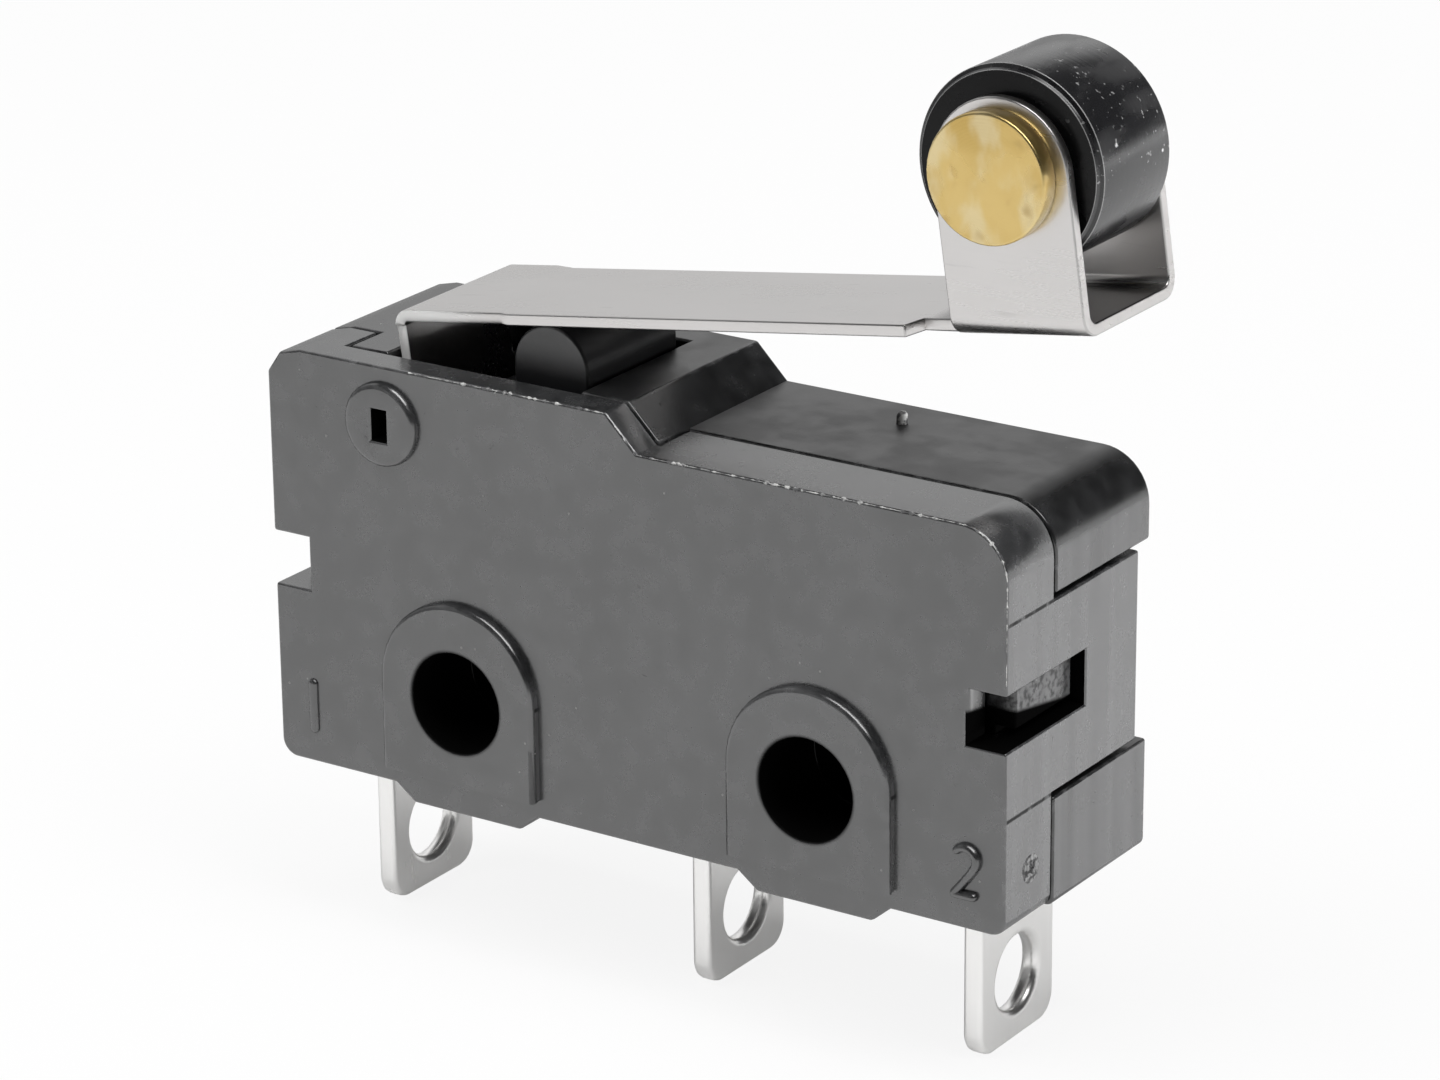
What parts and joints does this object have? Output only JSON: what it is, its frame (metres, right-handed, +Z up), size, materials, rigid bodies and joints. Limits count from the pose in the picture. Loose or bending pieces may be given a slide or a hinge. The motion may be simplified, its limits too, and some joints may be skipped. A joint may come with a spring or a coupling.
{
  "type": "micro switch",
  "caption": "Flat moulded snap-action switch with a hinged roller lever over its plunger, through holes for screws and solder tags below.",
  "frame": {"origin": "midway between the two mounting holes, halfway through the thickness of the body", "axes": "+X along the body from the hinge end to the roller end, +Y from the front cover to the back, +Z up towards the lever"},
  "size_m": [0.0209, 0.0064, 0.023],
  "materials": {
    "case_plastic": "dark grey moulded plastic, fine satin",
    "cover_plastic": "dark grey moulded plastic, fine satin",
    "lever_steel": "rolled stainless strip",
    "roller_plastic": "black turned plastic, half gloss",
    "rivet_brass": "bare brass, slightly stained",
    "plunger_plastic": "dark moulded plastic, half gloss",
    "tinned_terminal": "bright tin plate",
    "contact_silver": "silver contact",
    "blade_bronze": "bare spring bronze",
    "spring_steel": "spring steel strip"
  },
  "bodies": {
    "case": {"case": "case_plastic", "cover": "cover_plastic", "common_terminal": "tinned_terminal", "normally_open_terminal": "tinned_terminal", "normally_closed_terminal": "tinned_terminal", "normally_open_contact": "contact_silver", "normally_closed_contact": "contact_silver"},
    "lever": {"lever": "lever_steel", "roller_pin": "rivet_brass"},
    "roller": {"roller": "roller_plastic"},
    "plunger": {"plunger": "plunger_plastic"},
    "blade": {"moving_blade": "blade_bronze", "moving_contact": "contact_silver", "snap_spring": "spring_steel"}
  },
  "joints": [
    {"name": "lever_hinge", "type": "hinge", "parent": "case", "child": "lever", "pos_m": [-0.00675, 0, 0.00633], "axis": [0, 1, 0], "range_deg": [0, 10], "stiffness_Nm_per_rad": 0.02, "springref_deg": -11.46},
    {"name": "roller_spin", "type": "hinge", "parent": "lever", "child": "roller", "pos_m": [0.00868, 0, 0.01426], "axis": [0, 1, 0], "continuous": true},
    {"name": "plunger_slide", "type": "slide", "parent": "case", "child": "plunger", "axis": [0, 0, -1], "range_m": [0, 0.00068]},
    {"name": "blade_pivot", "type": "hinge", "parent": "case", "child": "blade", "pos_m": [-0.00829, 0, 0.00438], "axis": [0, 1, 0], "range_deg": [0, 3.4], "deforming": ["snap_spring"]}
  ],
  "couplings": [
    {"joint": "plunger_slide", "follows": "lever_hinge", "m_per_rad": 0.00386},
    {"joint": "blade_pivot", "follows": "lever_hinge", "ratio": 0.3333}
  ]
}
